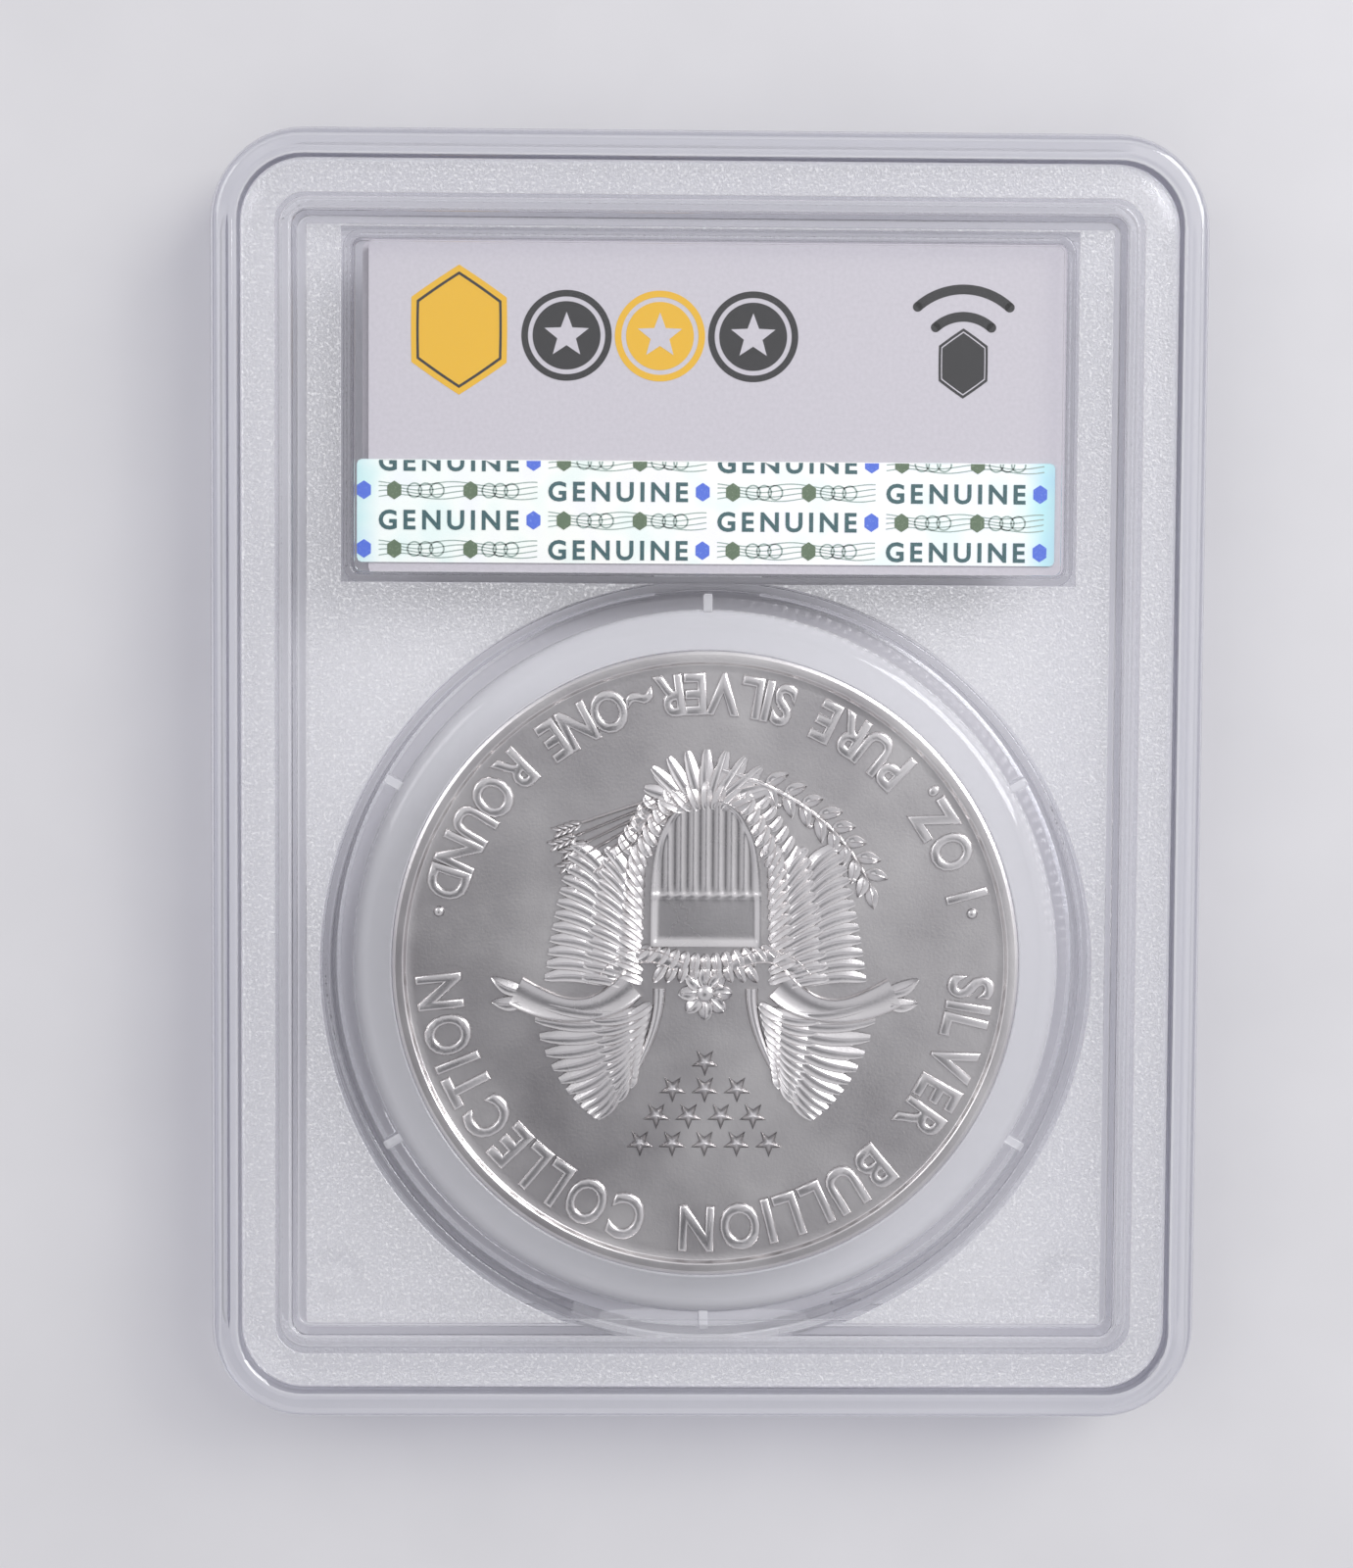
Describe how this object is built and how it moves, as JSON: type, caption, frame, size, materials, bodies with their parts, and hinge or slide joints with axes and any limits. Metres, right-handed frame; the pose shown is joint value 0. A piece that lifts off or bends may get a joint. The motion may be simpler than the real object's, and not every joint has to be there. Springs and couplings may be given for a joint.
{
  "type": "graded coin slab",
  "caption": "Flat clear plastic holder with raised stacking rims on both faces, holding a large silver coin in a centring ring and a printed label card.",
  "frame": {"origin": "middle of the footprint, on the surface that the front stacking rim rests on", "axes": "+Z out of the rear face, +Y towards the label end, +X to the right seen from the rear face"},
  "size_m": [0.0636, 0.0826, 0.0082],
  "materials": {
    "clear_styrene": "gloss",
    "ring_plastic": "gloss",
    "silver": "satin",
    "label_card": "matte",
    "security_foil": "satin",
    "tag_film": "satin",
    "antenna_copper": "satin",
    "chip_resin": "matte"
  },
  "bodies": {
    "slab": {"front_shell": "clear_styrene", "rear_shell": "clear_styrene", "coin_ring": "ring_plastic", "rear_label_card": "label_card", "front_label_card": "label_card", "hologram_strip": "security_foil", "tag_film": "tag_film", "tag_antenna": "antenna_copper", "tag_chip": "chip_resin"},
    "coin": {"coin": "silver"}
  },
  "joints": [
    {"name": "coin_turn", "type": "hinge", "parent": "slab", "child": "coin", "pos_m": [0, -0.012, 0.0041], "axis": [0, 0, 1], "continuous": true}
  ]
}
